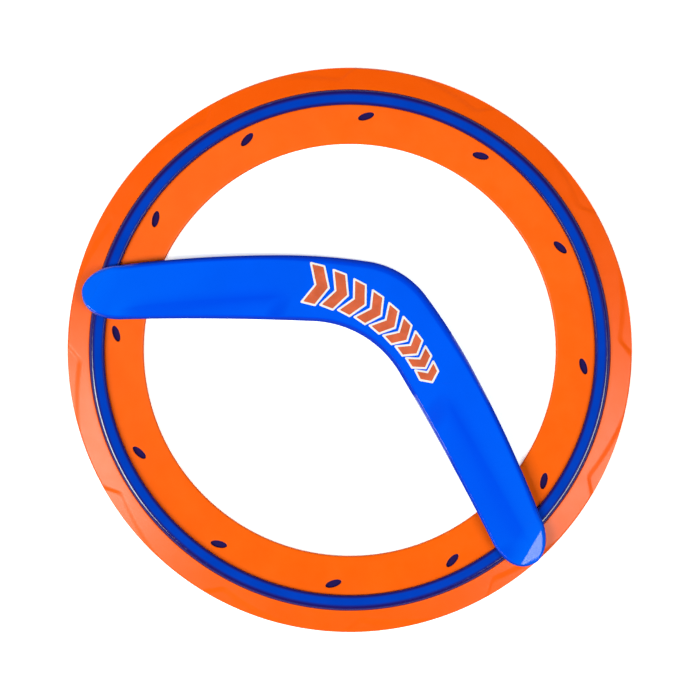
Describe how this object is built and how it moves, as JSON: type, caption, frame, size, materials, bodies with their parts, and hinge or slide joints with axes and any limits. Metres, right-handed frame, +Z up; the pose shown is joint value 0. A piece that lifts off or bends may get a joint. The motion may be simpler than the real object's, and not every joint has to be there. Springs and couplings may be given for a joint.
{
  "type": "boomerang and flying ring set",
  "caption": "Two-armed plastic boomerang laid across a soft-rimmed flying ring with a raised hard rib, windows and finger scallops.",
  "frame": {"origin": "the ring's centre, on the ground that it lies on", "axes": "+Z up, out of the ring's flat underside; +X and +Y lie in the ground plane, and the boomerang's elbow points towards +X and +Y"},
  "size_m": [0.254, 0.254, 0.0121],
  "materials": {
    "core_plastic": "gloss",
    "rubber": "satin",
    "blade_plastic": "gloss",
    "white_ink": "printed film",
    "orange_ink": "printed film"
  },
  "bodies": {
    "ring": {"core_ring": "core_plastic", "outer_rim": "rubber", "inner_band": "rubber"},
    "boomerang": {"boomerang_blade": "blade_plastic", "graphic_white": "white_ink", "graphic_orange": "orange_ink"}
  },
  "joints": [
    {"name": "boomerang_lift", "type": "slide", "parent": "ring", "child": "boomerang", "axis": [0, 0, 1], "range_m": [0, 0.1]}
  ]
}
